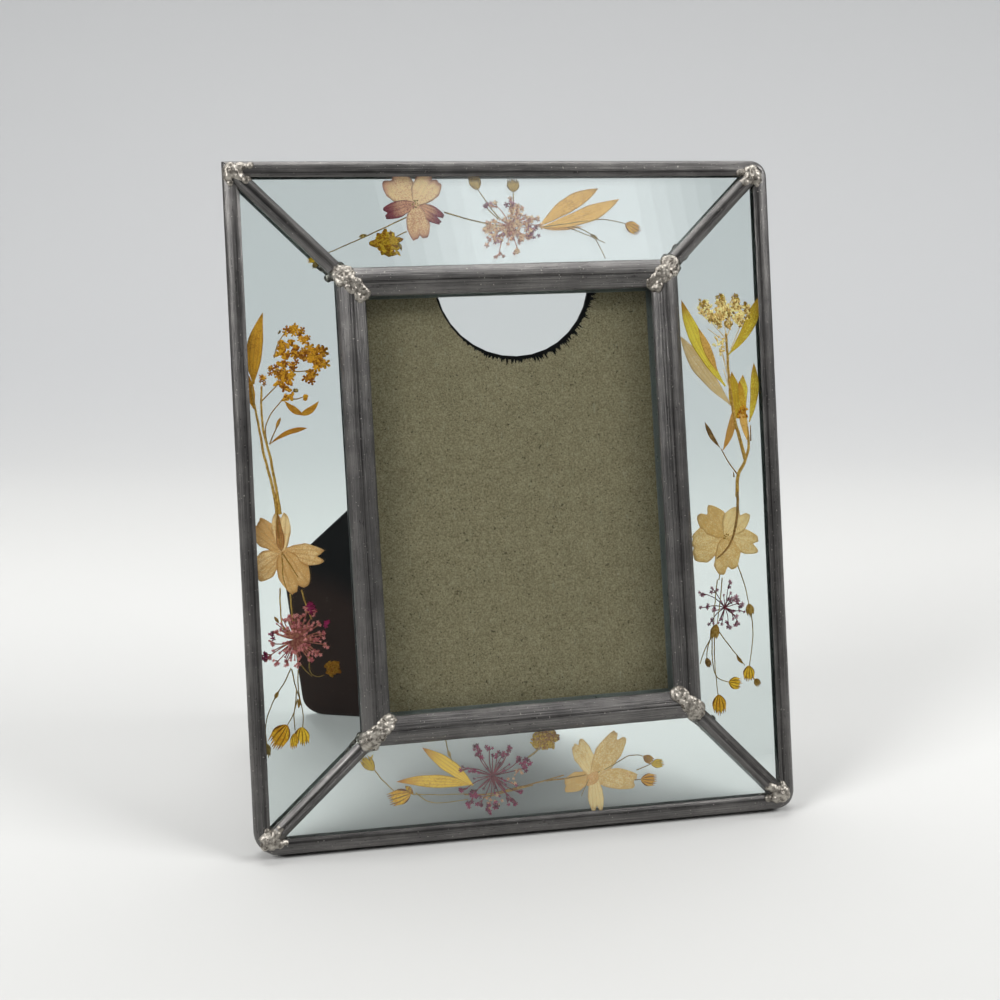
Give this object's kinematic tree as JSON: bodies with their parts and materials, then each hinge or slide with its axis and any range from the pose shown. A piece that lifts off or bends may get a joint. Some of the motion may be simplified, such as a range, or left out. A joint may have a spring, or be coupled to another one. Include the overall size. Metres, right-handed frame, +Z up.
{
  "type": "pressed flower photo frame",
  "caption": "Leaded glass photo frame with pressed flowers between sloping double panes, a raised window, a notched board and an easel leg.",
  "frame": {"origin": "middle of the footprint, on the surface that the frame and its leg stand on", "axes": "+Z up, the front of the frame faces -Y and leans back towards +Y, +X to the right as seen from the front"},
  "size_m": [0.1624, 0.0988, 0.1921],
  "materials": {
    "lead": "satin dark grey lead, drawn lengthwise",
    "solder": "bright lumpy tin solder with dark pits",
    "glass": "clear float glass, faintly green",
    "chipboard": "matte grey-green chipboard with fibres and specks",
    "black_paper": "matte black lining paper",
    "tin": "dull tinplate",
    "black_gloss": "glossy black sheet with dust",
    "petal_pink": "dry translucent petals, pink and tan",
    "petal_yellow": "dry yellow flower heads and leaves",
    "petal_orange": "dry orange-brown florets",
    "petal_cream": "dry translucent cream petals with veins",
    "petal_purple": "dry purple florets",
    "dried_stem": "dry olive stems and buds"
  },
  "bodies": {
    "frame": {"border_came": "lead", "corner_came_top_left": "lead", "corner_came_top_right": "lead", "corner_came_bottom_right": "lead", "corner_came_bottom_left": "lead", "window_came_top": "lead", "window_came_right": "lead", "window_came_bottom": "lead", "window_came_left": "lead", "back_rail": "lead", "solder_outer_top_left": "solder", "solder_outer_top_right": "solder", "solder_outer_bottom_right": "solder", "solder_outer_bottom_left": "solder", "solder_inner_top_left": "solder", "solder_inner_top_right": "solder", "solder_inner_bottom_right": "solder", "solder_inner_bottom_left": "solder", "solder_back_top_left": "solder", "solder_back_top_right": "solder", "solder_back_bottom_right": "solder", "solder_back_bottom_left": "solder", "pane_front_top": "glass", "pane_front_right": "glass", "pane_front_bottom": "glass", "pane_front_left": "glass", "pane_back_top": "glass", "pane_back_right": "glass", "pane_back_bottom": "glass", "pane_back_left": "glass", "window_glass": "glass", "backing_board": "chipboard", "back_paper": "black_paper", "hinge_fixed_leaf": "tin", "top_bud_stem": "dried_stem", "top_pink_flower": "petal_pink", "top_yellow_head": "petal_yellow", "top_pink_umbel": "petal_pink", "top_leaf_sprig": "petal_yellow", "left_lone_bud": "dried_stem", "left_orange_spray": "petal_orange", "left_cream_flower": "petal_cream", "left_pink_umbel": "petal_pink", "left_yellow_sprig": "petal_yellow", "right_yellow_spray": "petal_yellow", "right_cream_flower": "petal_cream", "right_purple_umbel": "petal_purple", "right_bud_sprig": "dried_stem", "bottom_leaf_sprig": "petal_yellow", "bottom_magenta_umbel": "petal_purple", "bottom_yellow_head": "petal_yellow", "bottom_cream_flower": "petal_cream", "bottom_bud_pair": "dried_stem"},
    "leg": {"easel_leg": "black_gloss", "hinge_moving_leaf": "tin"}
  },
  "joints": [
    {"name": "leg_hinge", "type": "hinge", "parent": "frame", "child": "leg", "pos_m": [0, -0.00821, 0.12145], "axis": [0.866, -0.134, -0.4817], "range_deg": [-32, 0]}
  ]
}
